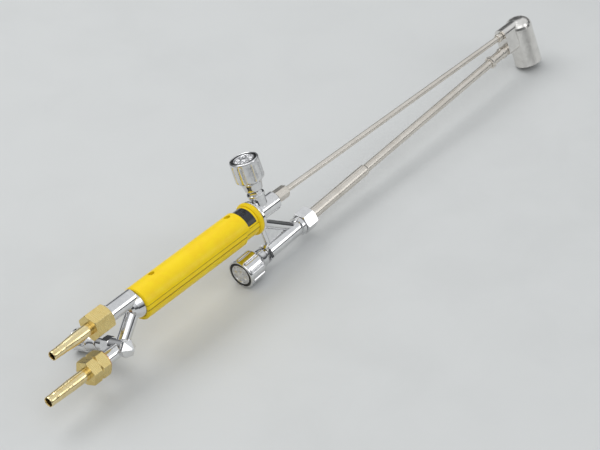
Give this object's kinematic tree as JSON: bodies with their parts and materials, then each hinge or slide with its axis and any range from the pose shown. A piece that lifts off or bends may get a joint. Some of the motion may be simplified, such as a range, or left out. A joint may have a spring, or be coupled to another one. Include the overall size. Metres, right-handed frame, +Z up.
{
  "type": "oxy-fuel hand torch",
  "caption": "Hand-held oxy-fuel gas torch: brass hose inlets, yellow two-shell grip, knob-operated needle valves, injector, long gas tubes and a nozzle head.",
  "frame": {"origin": "middle of the torch's bounding box in X and Y, at bench level: the torch lies on the bench as it is put down, leaning 20 degrees on to its fuel knob", "axes": "+X forward from the hose inlets to the head, +Z up from the bench, +Y to the side the fuel knob points to"},
  "size_m": [0.6474, 0.0743, 0.1003],
  "materials": {
    "fitting_brass": "machined, lightly polished",
    "copper": "bright drawn copper",
    "polished_chrome": "mirror-polished plating",
    "knob_chrome": "polished plating on die-cast lobes",
    "satin_nickel": "satin nickel plating, warm grey",
    "spindle_steel": "turned stainless steel",
    "badge_silver": "satin disc, blank",
    "ring_black": "matt",
    "grip_yellow": "glossy moulded plastic",
    "plate_black": "smooth, blank",
    "packing": "plain white packing"
  },
  "bodies": {
    "torch": {"oxygen_hose_nipple": "fitting_brass", "oxygen_hose_nut": "fitting_brass", "fuel_hose_nipple": "fitting_brass", "fuel_hose_nut": "fitting_brass", "fuel_sealing_ring": "copper", "rear_body": "polished_chrome", "fuel_valve_body": "polished_chrome", "fuel_valve_plug": "polished_chrome", "fuel_packing": "packing", "fuel_packing_nut": "polished_chrome", "oxygen_pipe": "copper", "fuel_pipe": "copper", "grip_upper_shell": "grip_yellow", "grip_lower_shell": "grip_yellow", "grip_end_ring": "grip_yellow", "grip_screws": "spindle_steel", "name_plate": "plate_black", "front_body": "polished_chrome", "cutting_packing": "packing", "cutting_packing_nut": "polished_chrome", "fuel_feed_tube": "polished_chrome", "feed_web": "polished_chrome", "injector_body": "polished_chrome", "injector": "fitting_brass", "preheat_packing": "packing", "preheat_packing_nut": "polished_chrome", "union_nut": "polished_chrome", "mixing_sleeve": "satin_nickel", "mixing_tube": "satin_nickel", "mixing_tube_fitting": "satin_nickel", "outlet_nut": "satin_nickel", "cutting_tube": "satin_nickel", "cutting_tube_collar": "satin_nickel", "torch_head": "satin_nickel"},
    "cutting_spindle": {"cutting_spindle": "spindle_steel"},
    "cutting_knob": {"cutting_knob": "knob_chrome", "cutting_knob_screw": "spindle_steel", "cutting_knob_ring": "ring_black", "cutting_knob_badge": "badge_silver"},
    "preheat_spindle": {"preheat_spindle": "spindle_steel"},
    "preheat_knob": {"preheat_knob": "knob_chrome", "preheat_knob_screw": "spindle_steel", "preheat_knob_ring": "ring_black", "preheat_knob_badge": "badge_silver"},
    "fuel_spindle": {"fuel_spindle": "spindle_steel"},
    "fuel_knob": {"fuel_knob": "knob_chrome", "fuel_knob_badge": "badge_silver"}
  },
  "joints": [
    {"name": "cutting_lift", "type": "slide", "parent": "torch", "child": "cutting_spindle", "axis": [0.0058, 0.342, 0.9397], "range_m": [0, 0.0015]},
    {"name": "cutting_turn", "type": "hinge", "parent": "cutting_spindle", "child": "cutting_knob", "pos_m": [-0.05489, -0.00141, 0.07247], "axis": [0.0058, 0.342, 0.9397], "range_deg": [0, 540.1]},
    {"name": "preheat_lift", "type": "slide", "parent": "torch", "child": "preheat_spindle", "axis": [-0.999, -0.0169, -0.0403], "range_m": [0, 0.0015]},
    {"name": "preheat_turn", "type": "hinge", "parent": "preheat_spindle", "child": "preheat_knob", "pos_m": [-0.07493, -0.02267, 0.01417], "axis": [-0.999, -0.0169, -0.0403], "range_deg": [0, 540.1]},
    {"name": "fuel_lift", "type": "slide", "parent": "torch", "child": "fuel_spindle", "axis": [-0.0021, 0.9397, -0.342], "range_m": [0, 0.0015]},
    {"name": "fuel_turn", "type": "hinge", "parent": "fuel_spindle", "child": "fuel_knob", "pos_m": [-0.24023, 0.00908, 0.01764], "axis": [-0.0021, 0.9397, -0.342], "range_deg": [0, 540.1]}
  ],
  "couplings": [
    {"joint": "cutting_turn", "follows": "cutting_lift", "rad_per_m": 6283.2},
    {"joint": "preheat_turn", "follows": "preheat_lift", "rad_per_m": 6283.2},
    {"joint": "fuel_turn", "follows": "fuel_lift", "rad_per_m": 6283.2}
  ]
}
